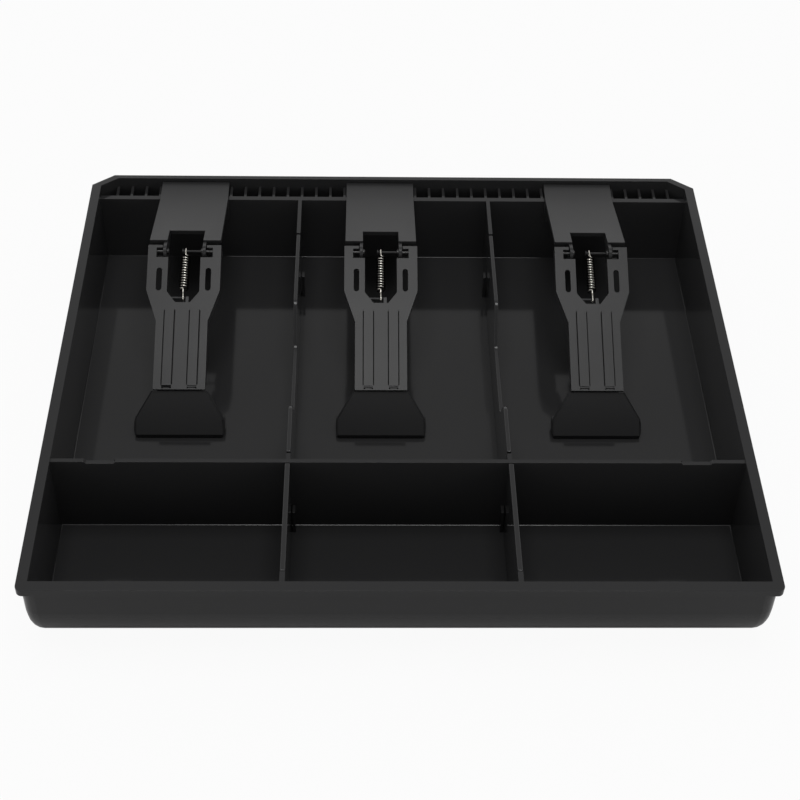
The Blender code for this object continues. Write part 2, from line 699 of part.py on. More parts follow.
def arm_pockets():
    """What is hollow under the arm, between its skirts."""
    top = ARM_TOP - ARM_SKIN
    low = ARM_BOTTOM - PAST
    neck = ARM_NECK_WIDTH / 2 - ARM_WALL
    start = -OPENING_END - 2 * ARM_WALL
    spans = [((-neck, -ARM_LENGTH - PAST, low), (neck, start - ARM_WALL, top))]
    limb_in = LIMB_OPENING / 2 + ARM_WALL
    limb_out = ARM_WIDTH / 2 - ARM_WALL
    for side in (-1, 1):
        left, right = sorted((side * limb_in, side * limb_out))
        spans.append(((left, -SHOULDER_START, low), (right, -WINDOW_END - ARM_WALL, top)))
    wide = ARM_NECK_WIDTH / 2 + PAST
    front = ((-wide, -ARM_LENGTH - PAST, low), (wide, -ARM_LENGTH + SKIRT_TO_END, top))
    return [boxes("arm_pockets", spans), boxes("arm_front", [front])]


def arm_mesh():
    """The clip's arm."""
    thickness = ARM_TOP - ARM_BOTTOM
    loops = [arm_plan(), slot_loop(-1), slot_loop(1)]
    arm = outline("arm", loops, thickness, PLAN, (ARM_TOP + ARM_BOTTOM) / 2)
    combine(arm, "DIFFERENCE", arm_pockets())
    half = STRIP_WIDTH / 2
    wide = half + GROOVE_WIDTH
    grooves = []
    strips = []
    catches = []
    for x in (-STRIP_OFFSET, STRIP_OFFSET):
        strip_end = -ARM_LENGTH + STRIP_TO_END
        strip_top = ARM_TOP + STRIP_HEIGHT
        groove_end = strip_end + GROOVE_WIDTH
        groove_start = -STRIP_START - GROOVE_WIDTH
        grooves.append(((x - wide, groove_end, ARM_TOP - GROOVE_DEPTH), (x + wide, groove_start, strip_top)))
        strip_foot = ARM_TOP - GROOVE_DEPTH - BITE
        strips.append(((x - half, strip_end, strip_foot), (x + half, -STRIP_START, strip_top)))
        catch_end = -ARM_LENGTH + CATCH_SLOT_TO_END
        catch_start = catch_end + CATCH_SLOT_LENGTH
        catches.append(((x - half, catch_end, ARM_BOTTOM), (x + half, catch_start, ARM_TOP + PAST)))
    anchor_y = -ANCHOR_FROM_PIVOT
    anchor_z = -ANCHOR_BELOW_PIVOT
    anchor_start = -LIMB_OPENING / 2
    anchor = rods("anchor", [(anchor_start, ANCHOR_PAST_MIDDLE, anchor_y, anchor_z, ANCHOR_RADIUS)])
    post_x = ANCHOR_PAST_MIDDLE + POST_GAP
    post_rear = -OPENING_END + POST_LENGTH
    post = boxes("post", [((post_x, -OPENING_END - BITE, anchor_z - ANCHOR_RADIUS),
                           (post_x + POST_WIDTH, post_rear, anchor_z + 2 * ANCHOR_RADIUS))])
    combine(arm, "DIFFERENCE", [boxes("grooves", grooves)])
    combine(arm, "UNION", [boxes("strips", strips), anchor, post])
    bore = PIN_RADIUS + FIT_GAP
    side = ARM_WIDTH / 2 + BITE
    bores = rods("arm_bores", [(-side, -WINDOW_SIDE + BITE, 0.0, 0.0, bore),
                               (WINDOW_SIDE - BITE, side, 0.0, 0.0, bore)])
    combine(arm, "DIFFERENCE", [boxes("catch_slots", catches), bores])
    return baked("clip_arm", arm)


# Press foot, drawn in the tray's own side view

def on_arm(along, above):
    """Gives the side-view place of a point on the sloping arm, from its pivot."""
    y = PIVOT_Y - along * math.cos(ARM_SLOPE) - above * math.sin(ARM_SLOPE)
    z = PIVOT_Z - along * math.sin(ARM_SLOPE) + above * math.cos(ARM_SLOPE)
    return y, z


def foot_lines():
    """Gives the foot's bend under the arm, the top of its toe, and its square direction."""
    under = ARM_TOP - ARM_SKIN - SEAT_GAP
    bend = np.array(on_arm(ARM_LENGTH + FOOT_PAST_ARM, under))
    toe = np.array((bend[0] - FOOT_RUN, FOOT_SOLE_Z + FOOT_TOE))
    along = (toe - bend) / np.linalg.norm(toe - bend)
    behind = np.array((-along[1], along[0]))
    return under, bend, toe, behind


def foot_plate():
    """The sloping press plate with its toe and sole, from the side."""
    _, bend, toe, behind = foot_lines()
    sole_rear = toe[0] + FOOT_SOLE
    sole_top = FOOT_SOLE_Z + FOOT_THICKNESS
    toe_inner = toe + behind * FOOT_THICKNESS
    plate = bend + behind * FOOT_THICKNESS
    slide = (sole_top - plate[1]) / (toe_inner[1] - plate[1])
    corner = plate + (toe_inner - plate) * slide
    return [bend, plate, corner, (sole_rear, sole_top), (sole_rear, FOOT_SOLE_Z), (toe[0], FOOT_SOLE_Z), toe]


def foot_mount():
    """The plate that lies in the arm's pocket, from the side."""
    under, bend, toe, behind = foot_lines()
    along = (toe - bend) / np.linalg.norm(toe - bend)
    rear = ARM_LENGTH - FOOT_MOUNT_LENGTH
    inside = bend + (along + behind) * FOOT_THICKNESS
    skin = bend + (along + behind / 2) * FOOT_THICKNESS
    return [on_arm(rear, under), on_arm(rear, under - FOOT_THICKNESS), inside, skin, bend]


def foot_front():
    """The foot from the front: as wide as the arm at its bend, flared to its straight sides."""
    _, bend, _, _ = foot_lines()
    half = FOOT_WIDTH / 2
    neck = ARM_NECK_WIDTH / 2
    low = FOOT_SOLE_Z - PAST
    side_top = FOOT_SOLE_Z + FOOT_SIDE_HEIGHT
    inward = half - FOOT_CORNER_IN
    right = [(inward, low, 0.0), (inward, FOOT_SOLE_Z, 0.0), (half, FOOT_SOLE_Z + FOOT_CORNER_UP, 0.0),
             (half, side_top, FOOT_SHOULDER_RADIUS), (neck, bend[1], 0.0), (neck, bend[1] + PAST, 0.0)]
    return rounded(right + [(-x, z, radius) for x, z, radius in reversed(right)])


def foot_section():
    """What keeps the foot's outer side edges round, drawn across the press plate."""
    _, bend, toe, behind = foot_lines()
    along = (toe - bend) / np.linalg.norm(toe - bend)
    half = FOOT_WIDTH / 2
    low = -TRAY_HEIGHT
    loop = rounded([(-half, low, 0.0), (half, low, 0.0), (half, 0.0, FOOT_EDGE_RADIUS),
                    (-half, 0.0, FOOT_EDGE_RADIUS)])
    across = Matrix(((1, 0, 0, 0), (0, -behind[0], along[0], toe[0]),
                     (0, -behind[1], along[1], toe[1]), (0, 0, 0, 1)))
    return outline("foot_section", [loop], 2 * TRAY_DEPTH, across)


def foot_cheeks():
    """A short return behind the press plate on each straight side."""
    _, bend, toe, behind = foot_lines()
    top = FOOT_SOLE_Z + FOOT_SIDE_HEIGHT
    down = (toe - bend) / (toe[1] - bend[1])
    skin = behind * FOOT_THICKNESS / 2
    upper = toe + down * (top - toe[1]) + skin
    lower = toe + skin
    inner_top = (upper[0] + FOOT_CHEEK_DEPTH, top)
    loop = [upper, lower, (lower[0], FOOT_SOLE_Z + FOOT_THICKNESS / 2),
            (toe[0] + FOOT_SOLE - BITE, FOOT_SOLE_Z + FOOT_THICKNESS / 2), inner_top]
    shift = FOOT_WIDTH / 2 - FOOT_CHEEK / 2
    return [outline("cheek", [loop], FOOT_CHEEK, SIDE, side * shift) for side in (-1, 1)]


def foot_mesh():
    """The press foot with its two catches, moved so that the pivot is its origin."""
    foot = outline("foot", [foot_plate()], FOOT_WIDTH, SIDE)
    combine(foot, "UNION", foot_cheeks())
    front = outline("foot_front", [foot_front()], 2 * TRAY_DEPTH, FRONT)
    combine(foot, "INTERSECT", [front, foot_section()])
    pocket = ARM_NECK_WIDTH - 2 * (ARM_WALL + SEAT_GAP)
    combine(foot, "UNION", [outline("foot_mount", [foot_mount()], pocket, SIDE)])
    under = ARM_TOP - ARM_SKIN - SEAT_GAP
    catch = ARM_LENGTH - CATCH_SLOT_TO_END - CATCH_SLOT_LENGTH / 2
    near = catch - CATCH_THICKNESS / 2
    far = catch + CATCH_THICKNESS / 2
    top = ARM_TOP - CATCH_SHORT
    loop = [on_arm(near, under - BITE), on_arm(far, under - BITE), on_arm(far, top), on_arm(near, top)]
    catches = [outline("catch", [loop], CATCH_WIDTH, SIDE, x) for x in (-STRIP_OFFSET, STRIP_OFFSET)]
    combine(foot, "UNION", catches)
    mesh = baked("clip_foot", foot)
    mesh.transform(Matrix.Translation((0.0, -PIVOT_Y, -PIVOT_Z)))
    return mesh


# Tension spring, drawn from the peg to the arm's anchor

def spring_path():
    """One line from hook to hook: round the peg, along the coil, round the anchor."""
    anchor = np.array(on_arm(ANCHOR_FROM_PIVOT, -ANCHOR_BELOW_PIVOT))
    span = anchor - np.array((PEG_Y, PEG_Z))
    length = float(np.linalg.norm(span))
    along = span / length
    up = np.array((along[1], -along[0]))
    coil = (SPRING_OUTER - SPRING_WIRE) / 2
    peg_hook = PEG_RADIUS + HOOK_CLEARANCE + SPRING_WIRE / 2
    anchor_hook = ANCHOR_RADIUS + HOOK_CLEARANCE + SPRING_WIRE / 2
    flat = []
    for step in range(HOOK_POINTS + 1):
        angle = 1.5 * math.pi - HOOK_TURN * (1 - step / HOOK_POINTS)
        flat.append((peg_hook * math.cos(angle), peg_hook * math.sin(angle), 0.0))
    for step in range(SPRING_TURNS * SPRING_POINTS + 1):
        angle = 2 * math.pi * step / SPRING_POINTS
        ahead = SPRING_START + SPRING_PITCH * step / SPRING_POINTS
        flat.append((ahead, -coil * math.cos(angle), coil * math.sin(angle)))
    for step in range(HOOK_POINTS + 1):
        angle = -math.pi / 2 + HOOK_TURN * step / HOOK_POINTS
        flat.append((length + anchor_hook * math.cos(angle), anchor_hook * math.sin(angle), 0.0))
    return [np.array((x, *(u * along + v * up))) for u, v, x in flat]


def least_gap(path):
    """Gives the least gap between parts of the wire that aren't neighbours along it."""
    points = np.array(path)
    steps = np.linalg.norm(np.diff(points, axis=0), axis=1)
    run = np.concatenate(((0.0,), np.cumsum(steps)))
    apart = np.abs(run[:, None] - run[None, :]) > SPRING_OUTER
    distance = np.linalg.norm(points[:, None, :] - points[None, :, :], axis=2)
    return float(distance[apart].min()) - SPRING_WIRE


def spring_mesh():
    """The spring's wire as one unbroken tube."""
    path = spring_path()
    print("spring: least gap to itself %.2f mm" % (least_gap(path) * 1000))
    curve = bpy.data.curves.new("spring_wire", "CURVE")
    curve.dimensions = "3D"
    curve.bevel_depth = SPRING_WIRE / 2
    curve.bevel_resolution = 1
    curve.use_fill_caps = True
    spline = curve.splines.new("POLY")
    spline.points.add(len(path) - 1)
    for point, place_of in zip(spline.points, path):
        point.co = (*place_of, 1.0)
    wire = bpy.data.objects.new("spring_wire", curve)
    tools.objects.link(wire)
    bpy.context.view_layer.update()
    mesh = baked("clip_spring", as_mesh(wire))
    mesh.shade_smooth()
    return mesh


def build_clips(finishes):
    """One clip for each place on the comb: bracket, two pins, arm, foot and spring."""
    meshes = {}
    for name, make in (("bracket", bracket_mesh), ("pin", pin_mesh), ("arm", arm_mesh),
                       ("foot", foot_mesh), ("spring", spring_mesh)):
        meshes[name] = make()
        clear_tools()
    pivot = (0.0, PIVOT_Y, PIVOT_Z)
    head = EAR_INNER - FIT_GAP
    for side, steps in CLIP_PLACES.items():
        clip = bpy.data.objects.new("clip_" + side, None)
        clip.location = (steps * RIB_PITCH, 0.0, 0.0)
        model.objects.link(clip)
        place("clip_bracket_" + side, meshes["bracket"], finishes["clip"], clip)
        arm = place("clip_arm_" + side, meshes["arm"], finishes["clip"], clip, pivot, ARM_SLOPE)
        foot = place("clip_foot_" + side, meshes["foot"], finishes["clip"], arm)
        foot.rotation_euler = (-ARM_SLOPE, 0.0, 0.0)
        place("clip_spring_" + side, meshes["spring"], finishes["steel"], clip, (0.0, PEG_Y, PEG_Z))
        right = place("pivot_pin_" + side + "_right", meshes["pin"], finishes["pin"], clip, pivot)
        right.location.x = head
        left = place("pivot_pin_" + side + "_left", meshes["pin"], finishes["pin"], clip, pivot)
        left.location.x = -head
        left.rotation_euler = (0.0, math.pi, 0.0)


def build_tray(finishes):
    """The tray body and its four lift-out dividers."""
    place("tray_body", tray_mesh(), finishes["tray"])
    clear_tools()
    bill = bill_divider_mesh()
    coin = coin_divider_mesh()
    clear_tools()
    for side, x in (("left", -BILL_DIVIDER_X), ("right", BILL_DIVIDER_X)):
        place("bill_divider_" + side, bill, finishes["tray"], location=(x, 0.0, 0.0))
        place("coin_divider_" + side, coin, finishes["tray"], location=(x, 0.0, 0.0))


clear_scene()
model = new_collection("cash_register_tray")
tools = new_collection("cutters")
FINISHES = {
    "tray": plastic("tray_plastic", 0.022, 0.30),
    "clip": plastic("clip_plastic", 0.050, 0.42),
    "pin": principled("pin_steel", (0.10, 0.10, 0.10, 1.0), 0.40, 1.0),
    "steel": principled("spring_steel", (0.62, 0.60, 0.55, 1.0), 0.25, 1.0),
}
build_tray(FINISHES)
build_clips(FINISHES)
bpy.context.view_layer.update()
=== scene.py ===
"""Cash register tray in black moulded plastic, with its three sprung bill clips."""
import json
import math

import bmesh
import bpy
from mathutils import Matrix, Vector

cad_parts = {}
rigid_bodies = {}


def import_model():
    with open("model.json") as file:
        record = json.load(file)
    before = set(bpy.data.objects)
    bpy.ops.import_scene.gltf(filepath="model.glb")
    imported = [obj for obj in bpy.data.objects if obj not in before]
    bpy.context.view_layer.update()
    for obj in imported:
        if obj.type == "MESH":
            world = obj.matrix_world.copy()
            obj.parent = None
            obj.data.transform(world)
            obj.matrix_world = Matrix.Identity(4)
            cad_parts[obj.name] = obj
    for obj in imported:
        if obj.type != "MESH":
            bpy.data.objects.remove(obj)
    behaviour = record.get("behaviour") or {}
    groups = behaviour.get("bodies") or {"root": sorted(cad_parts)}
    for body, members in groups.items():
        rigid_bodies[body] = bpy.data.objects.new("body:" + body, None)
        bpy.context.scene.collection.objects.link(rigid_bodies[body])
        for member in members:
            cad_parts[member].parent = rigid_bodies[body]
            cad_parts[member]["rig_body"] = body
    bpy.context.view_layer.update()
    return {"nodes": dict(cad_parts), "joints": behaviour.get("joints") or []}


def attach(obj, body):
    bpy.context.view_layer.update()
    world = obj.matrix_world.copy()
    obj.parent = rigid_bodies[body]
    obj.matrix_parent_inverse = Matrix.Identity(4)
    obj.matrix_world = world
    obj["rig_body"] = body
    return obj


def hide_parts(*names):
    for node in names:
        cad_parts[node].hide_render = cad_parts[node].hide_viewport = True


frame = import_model()
NODES = frame["nodes"]

# Lengths are in metres and angles in radians

# The photographer's camera, worked out from the tray's edges
CAMERA_PLACE = (-0.015114, -0.490801, 0.505107)
CAMERA_DOWN = 0.7845
CAMERA_HEADING = -0.0339
CAMERA_ROLL = 0.0271
LENS = 73.185
SENSOR = 36.0
NEAREST = 0.01

# Corners nearer than this are one corner, and faces that turn less than this are one flat
MERGE = 0.000002
ONE_FLAT = math.radians(0.6)

# A face so many times larger than its neighbour is shaded apart from it if they turn this much
FLAT_SHARE = 6.0
TURNED = math.radians(0.5)

# Two faces that turn more than this meet in a crease
CREASE = math.radians(38.0)

# The outward edges that are rounded, and how much, in each kind of piece
SHARP_EDGE = math.radians(28.0)
SHARP_PIN_EDGE = math.radians(80.0)
TRAY_ROUND = 0.0003
CLIP_ROUND = 0.0003
PIN_ROUND = 0.00005
ROUND_STEPS = 3
PIN_STEPS = 1

# An edge is rounded fully where its faces are this many radii deep, and finely elsewhere
DEEP_FACE = 2.8
FINE_SHARE = 0.25

# A groove's inner faces, which get painted shade: how sharply they meet, how long they are at least, and how
# narrow
GROOVE_TURN = 1.0
GROOVE_RUN = 0.003
GROOVE_SPAN = 0.0007

# Mould grain: clouds of uneven gloss, and fine pits
CLOUD_SCALE = 26.0
CLOUD_DETAIL = 4.0
CLOUD_SPREAD = 0.15
PIT_SCALE = 1800.0
PIT_DETAIL = 2.0
PIT_DEPTH = 0.00002

# Steel: fine streaks, and a spring wire's painted highlight: where it starts to show and is full, and how
# much it brightens by itself
STREAK_SCALE = 900.0
STREAK_DETAIL = 3.0
STREAK_SPREAD = 0.2
HIGHLIGHT_STARTS = 0.4
HIGHLIGHT_FULL = 1.0
HIGHLIGHT_SHARE = 0.6

# A clip's spring, in the sizes of its solid
ARM_SLOPE = math.radians(25.5)
ANCHOR_FROM_PIVOT = 0.0219
ANCHOR_BELOW_PIVOT = 0.0006
SPRING_WIRE = 0.0006
SPRING_OUTER = 0.0042
SPRING_TURNS = 13
SPRING_PITCH = 0.0013
SPRING_START = 0.0032
PEG_HOOK_RADIUS = 0.0011
ANCHOR_HOOK_RADIUS = 0.00125
HOOK_TURN = math.radians(225)
BEND_RADIUS = 0.0007
COIL_RADIUS = (SPRING_OUTER - SPRING_WIRE) / 2
COIL_END = SPRING_START + SPRING_TURNS * SPRING_PITCH

# How finely its wire is turned
WIRE_SIDES = 10
TURN_STEPS = 30
HOOK_STEPS = 20
BEND_STEPS = 6

# How much painted highlight its straight leads get, and how fast the painted highlight fades from the top of
# a turn round its sides
LEAD_HIGHLIGHT = 0.75
HIGHLIGHT_FALL = 3

# The anchor hook's shank, which is hidden in the straight lead while the clip is shut
SHANK_STEP = 0.00005
SHANK_SHARE = 0.8
SHANK_LENGTH = 0.0019

# The studio's surroundings: how high up each part fades, and how bright it is then, where white is 1
BACKDROP_FADE = (math.radians(32), math.radians(44))
CEILING_GLOW = 0.48
OVERHEAD_FADE = (math.radians(58), math.radians(72))
OVERHEAD_GLOW = 0.25
ROOM_FADE = (math.radians(22), math.radians(36))
ROOM_GLOW = 0.18

# Where the dim room gives way to the backdrop: how far a direction points to the back
ROOM_TURN = (-0.25, 0.35)

# The table and the lamp
TABLE_GLOW = 0.94
TABLE_WHITE = 0.60
TABLE_ROUGHNESS = 0.9
TABLE_SIZE = 4.0
LAMP_PLACE = (0.0, -0.12, 1.3)
LAMP_SIZE = 0.7
LAMP_WATTS = 9.0


def camera():
    """The camera at the photograph's place and angle."""
    data = bpy.data.cameras.new("camera")
    data.lens = LENS
    data.sensor_width = SENSOR
    data.sensor_height = SENSOR
    data.sensor_fit = "HORIZONTAL"
    data.clip_start = NEAREST
    view = bpy.data.objects.new("camera", data)
    aim = Matrix.Rotation(CAMERA_HEADING, 4, "Z") @ Matrix.Rotation(math.pi / 2 - CAMERA_DOWN, 4, "X")
    view.matrix_world = Matrix.Translation(CAMERA_PLACE) @ aim @ Matrix.Rotation(CAMERA_ROLL, 4, "Z")
    bpy.context.scene.collection.objects.link(view)
    bpy.context.scene.camera = view


def shader_of(name):
    """A new material with its Principled shader and its nodes and links."""
    material = bpy.data.materials.new(name)
    material.use_nodes = True
    tree = material.node_tree
    return material, tree.nodes["Principled BSDF"], tree.nodes, tree.links


def mottle(nodes, links, place, scale, detail):
    """A fine cloudy pattern that stays put on its piece."""
    pattern = nodes.new("ShaderNodeTexNoise")
    pattern.inputs["Scale"].default_value = scale
    pattern.inputs["Detail"].default_value = detail
    links.new(place.outputs["Object"], pattern.inputs["Vector"])
    return pattern.outputs["Fac"]


def uneven_gloss(nodes, links, shader, pattern, roughness, spread):
    """Makes a finish a little glossier in one spot than in the next, as a pattern says."""
    gloss = nodes.new("ShaderNodeMapRange")
    gloss.inputs["To Min"].default_value = roughness * (1 - spread)
    gloss.inputs["To Max"].default_value = roughness * (1 + spread)
    links.new(pattern, gloss.inputs["Value"])
    links.new(gloss.outputs["Result"], shader.inputs["Roughness"])


def moulded_plastic(name, colour, roughness, level, grain):
    """Black plastic: a fine mould grain and a slight unevenness of its gloss."""
    material, shader, nodes, links = shader_of(name)
    shader.inputs["Base Color"].default_value = (*colour, 1.0)
    shader.inputs["Specular IOR Level"].default_value = level
    place = nodes.new("ShaderNodeTexCoord")
    clouds = mottle(nodes, links, place, CLOUD_SCALE, CLOUD_DETAIL)
    uneven_gloss(nodes, links, shader, clouds, roughness, CLOUD_SPREAD)
    bump = nodes.new("ShaderNodeBump")
    bump.inputs["Strength"].default_value = grain
    bump.inputs["Distance"].default_value = PIT_DEPTH
    links.new(mottle(nodes, links, place, PIT_SCALE, PIT_DETAIL), bump.inputs["Height"])
    links.new(bump.outputs["Normal"], shader.inputs["Normal"])
    return material


def steel(name, bright, dull, roughness, painted_highlight=False):
    """Drawn or turned steel: fine streaks from its making and, if asked, a painted highlight that follows
    the wire's crest attribute.
    """
    material, shader, nodes, links = shader_of(name)
    shader.inputs["Metallic"].default_value = 1.0
    streaks = mottle(nodes, links, nodes.new("ShaderNodeTexCoord"), STREAK_SCALE, STREAK_DETAIL)
    tint = nodes.new("ShaderNodeMix")
    tint.data_type = "RGBA"
    tint.inputs["A"].default_value = (*dull, 1.0)
    tint.inputs["B"].default_value = (*bright, 1.0)
    if painted_highlight:
        highlight_crest = nodes.new("ShaderNodeAttribute")
        highlight_crest.attribute_name = "highlight_crest"
        highlight_mask = nodes.new("ShaderNodeMapRange")
        highlight_mask.inputs["From Min"].default_value = HIGHLIGHT_STARTS
        highlight_mask.inputs["From Max"].default_value = HIGHLIGHT_FULL
        links.new(highlight_crest.outputs["Fac"], highlight_mask.inputs["Value"])
        patched = nodes.new("ShaderNodeMath")
        patched.operation = "MULTIPLY_ADD"
        links.new(highlight_mask.outputs["Result"], patched.inputs[0])
        patched.inputs[1].default_value = HIGHLIGHT_SHARE
        shade = nodes.new("ShaderNodeMath")
        shade.operation = "MULTIPLY"
        links.new(streaks, shade.inputs[0])
        links.new(highlight_mask.outputs["Result"], shade.inputs[1])
        links.new(shade.outputs["Value"], patched.inputs[2])
        links.new(patched.outputs["Value"], tint.inputs["Factor"])
    else:
        links.new(streaks, tint.inputs["Factor"])
    links.new(tint.outputs["Result"], shader.inputs["Base Color"])
    uneven_gloss(nodes, links, shader, streaks, roughness, STREAK_SPREAD)
    return material


def link(piece):
    """Puts a piece in the scene."""
    bpy.context.scene.collection.objects.link(piece)
    return piece


def joint_place(name):
    """Where a joint of the frame turns, as a point of its axis."""
    found = [joint for joint in frame["joints"] if joint["name"] == name]
    return Vector(found[0]["pos_m"])


def finished(piece, node):
    """Puts a piece in its node's stead, on the node's body."""
    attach(piece, NODES[node]["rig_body"])
    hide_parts(node)
    return piece


def wire_round(work, ring, centre, axis, angle, steps, advance=(0.0, 0.0, 0.0)):
    """Leads the wire's open end round an axis, and returns the new end's edges."""
    made = bmesh.ops.spin(work, geom=ring, cent=centre, axis=axis, dvec=advance, angle=angle,
                          steps=steps, use_merge=False, use_duplicate=False)
    return [item for item in made["geom_last"] if isinstance(item, bmesh.types.BMEdge)]


def wire_on(work, ring, shift):
    """Leads the wire's open end straight on, and returns the new end's edges."""
    made = bmesh.ops.extrude_edge_only(work, edges=ring)["geom"]
    ends = {item for item in made if isinstance(item, bmesh.types.BMVert)}
    bmesh.ops.translate(work, verts=list(ends), vec=shift)
    return [item for item in made if isinstance(item, bmesh.types.BMEdge) and set(item.verts) <= ends]


def wire_piece(name, work, place, highlight_mask):
    """Closes a wire's ends and puts it in its place, with a painted highlight as the given share says."""
    bmesh.ops.remove_doubles(work, verts=work.verts, dist=MERGE / 2)
    bmesh.ops.holes_fill(work, edges=[edge for edge in work.edges if edge.is_boundary], sides=WIRE_SIDES)
    highlight_crest = work.verts.layers.float.new("highlight_crest")
    for vert in work.verts:
        vert[highlight_crest] = highlight_mask(vert.co)
    bmesh.ops.transform(work, matrix=place, verts=work.verts)
    bmesh.ops.recalc_face_normals(work, faces=work.faces)
    for face in work.faces:
        face.smooth = True
    mesh = bpy.data.meshes.new(name)
    work.to_mesh(mesh)
    work.free()
    mesh.materials.append(WIRE)
    return link(bpy.data.objects.new(name, mesh))


def spring_highlight(spot):
    """How much painted highlight a spring's wire gets at a spot: on a turn only where it faces outwards and
    up, so that its inside and underside stay dark as painted shade; the peg hook gets it fully and the leads
    partly.
    """
    reach = math.hypot(spot.x, spot.z)
    outward = (reach - COIL_RADIUS) / (SPRING_WIRE / 2)
    upward = max(-spot.z / reach, 0.0) if reach else 0.0
    if SPRING_START < spot.y < COIL_END:
        return outward * upward ** HIGHLIGHT_FALL
    return 1.0 if spot.y < PEG_HOOK_RADIUS else LEAD_HIGHLIGHT


def spring_line(side):
    """A spring's length from its peg to the arm's anchor bar, and the place that lays it between them."""
    peg = joint_place("spring_swing_" + side)
    arm = Vector((0.0, -math.cos(ARM_SLOPE), -math.sin(ARM_SLOPE)))
    above = Vector((0.0, -math.sin(ARM_SLOPE), math.cos(ARM_SLOPE)))
    anchor = joint_place("clip_lift_" + side) + arm * ANCHOR_FROM_PIVOT - above * ANCHOR_BELOW_PIVOT
    along = (anchor - peg).normalized()
    across = Vector((1.0, 0.0, 0.0)).cross(along)
    place = Matrix(((1.0, 0.0, 0.0, peg.x), (0.0, along.y, across.y, peg.y),
                    (0.0, along.z, across.z, peg.z), (0.0, 0.0, 0.0, 1.0)))
    return (anchor - peg).length, place


def wire_lead(work, ring, lean, bend_y, tip):
    """Bends a coil's end inwards and leads it straight to a hook: the new end's edges, and its run."""
    tilt = Matrix.Rotation(lean, 3, "Y")
    ring = wire_round(work, ring, tilt @ Vector((0.0, bend_y, -COIL_RADIUS)), tilt @ Vector((0.0, 0.0, 1.0)),
                      math.pi / 2, BEND_STEPS)
    bend = sum((vert.co for edge in ring for vert in edge.verts), Vector()) / (2 * len(ring))
    return wire_on(work, ring, tip - bend), tip - bend


def clip_spring(side):
    """A clip's spring: a round wire hooked on the peg, coiled, and led to its hook on the anchor bar."""
    length, place = spring_line(side)
    peg_tip = Vector((0.0, 0.0, -PEG_HOOK_RADIUS))
    anchor_tip = Vector((0.0, length, -ANCHOR_HOOK_RADIUS))
    lean = math.asin(BEND_RADIUS / COIL_RADIUS)
    turns = SPRING_TURNS - lean / math.pi
    start = Matrix.Translation((0.0, SPRING_START, -COIL_RADIUS)) @ Matrix.Rotation(math.pi / 2, 4, "Y")
    work = bmesh.new()
    bmesh.ops.create_circle(work, segments=WIRE_SIDES, radius=SPRING_WIRE / 2,
                            matrix=Matrix.Rotation(-lean, 4, "Y") @ start)
    first = list(work.edges)
    last = wire_round(work, first, (0.0, 0.0, 0.0), (0.0, -1.0, 0.0), turns * 2 * math.pi,
                      SPRING_TURNS * TURN_STEPS, (0.0, SPRING_PITCH / TURN_STEPS, 0.0))
    hook, _ = wire_lead(work, first, -lean, SPRING_START - BEND_RADIUS, peg_tip)
    _, run = wire_lead(work, last, lean, COIL_END + BEND_RADIUS, anchor_tip)
    wire_round(work, hook, (0.0, 0.0, 0.0), (1.0, 0.0, 0.0), -HOOK_TURN, HOOK_STEPS)
    finished(wire_piece("spring_wire_" + side, work, place, spring_highlight), "clip_spring_" + side)
    anchor_hook(side, place, anchor_tip, run)


def anchor_hook(side, place, tip, run):
    """A spring's hook on the anchor bar. It rides the arm, because the coil doesn't stretch."""
    back = -run.normalized()
    work = bmesh.new()
    bmesh.ops.create_circle(work, segments=WIRE_SIDES, radius=SPRING_WIRE / 2,
                            matrix=Matrix.Translation(tip) @ Matrix.Rotation(math.pi / 2, 4, "X"))
    ring = list(work.edges)
    wire_round(work, ring, (0.0, tip.y, 0.0), (1.0, 0.0, 0.0), HOOK_TURN, HOOK_STEPS)

    # The shank is a little thinner than the straight lead, and slides out of it as the arm lifts
    ring = wire_on(work, ring, back * SHANK_STEP)
    bmesh.ops.scale(work, verts=list({vert for edge in ring for vert in edge.verts}),
                    vec=(SHANK_SHARE, 1.0, SHANK_SHARE), space=Matrix.Translation(-tip))
    wire_on(work, ring, back * SHANK_LENGTH)
    # The anchor hook gets the full painted highlight all over
    hook = wire_piece("spring_hook_" + side, work, place, lambda spot: 1.0)
    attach(hook, NODES["clip_arm_" + side]["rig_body"])


def outer_edges(work, angle, length, depth):
    """The sharp outward edges over a length whose two faces both reach this far back from them."""
    found = []
    for edge in work.edges:
        if len(edge.link_faces) == 2 and edge.calc_face_angle_signed(0.0) > angle:
            reach = min(face.calc_area() for face in edge.link_faces) / edge.calc_length()
            if edge.calc_length() > length and reach > depth:
                found.append(edge)
    return found


def in_groove(face):
    """Whether a narrow face runs along the inside of a long groove, where shade is painted."""
    around = sum(edge.calc_length() for edge in face.edges)
    inside = [edge for edge in face.edges if len(edge.link_faces) == 2
              and edge.calc_face_angle_signed(0.0) < -GROOVE_TURN and edge.calc_length() > GROOVE_RUN]
    return bool(inside) and 2 * face.calc_area() < GROOVE_SPAN * around


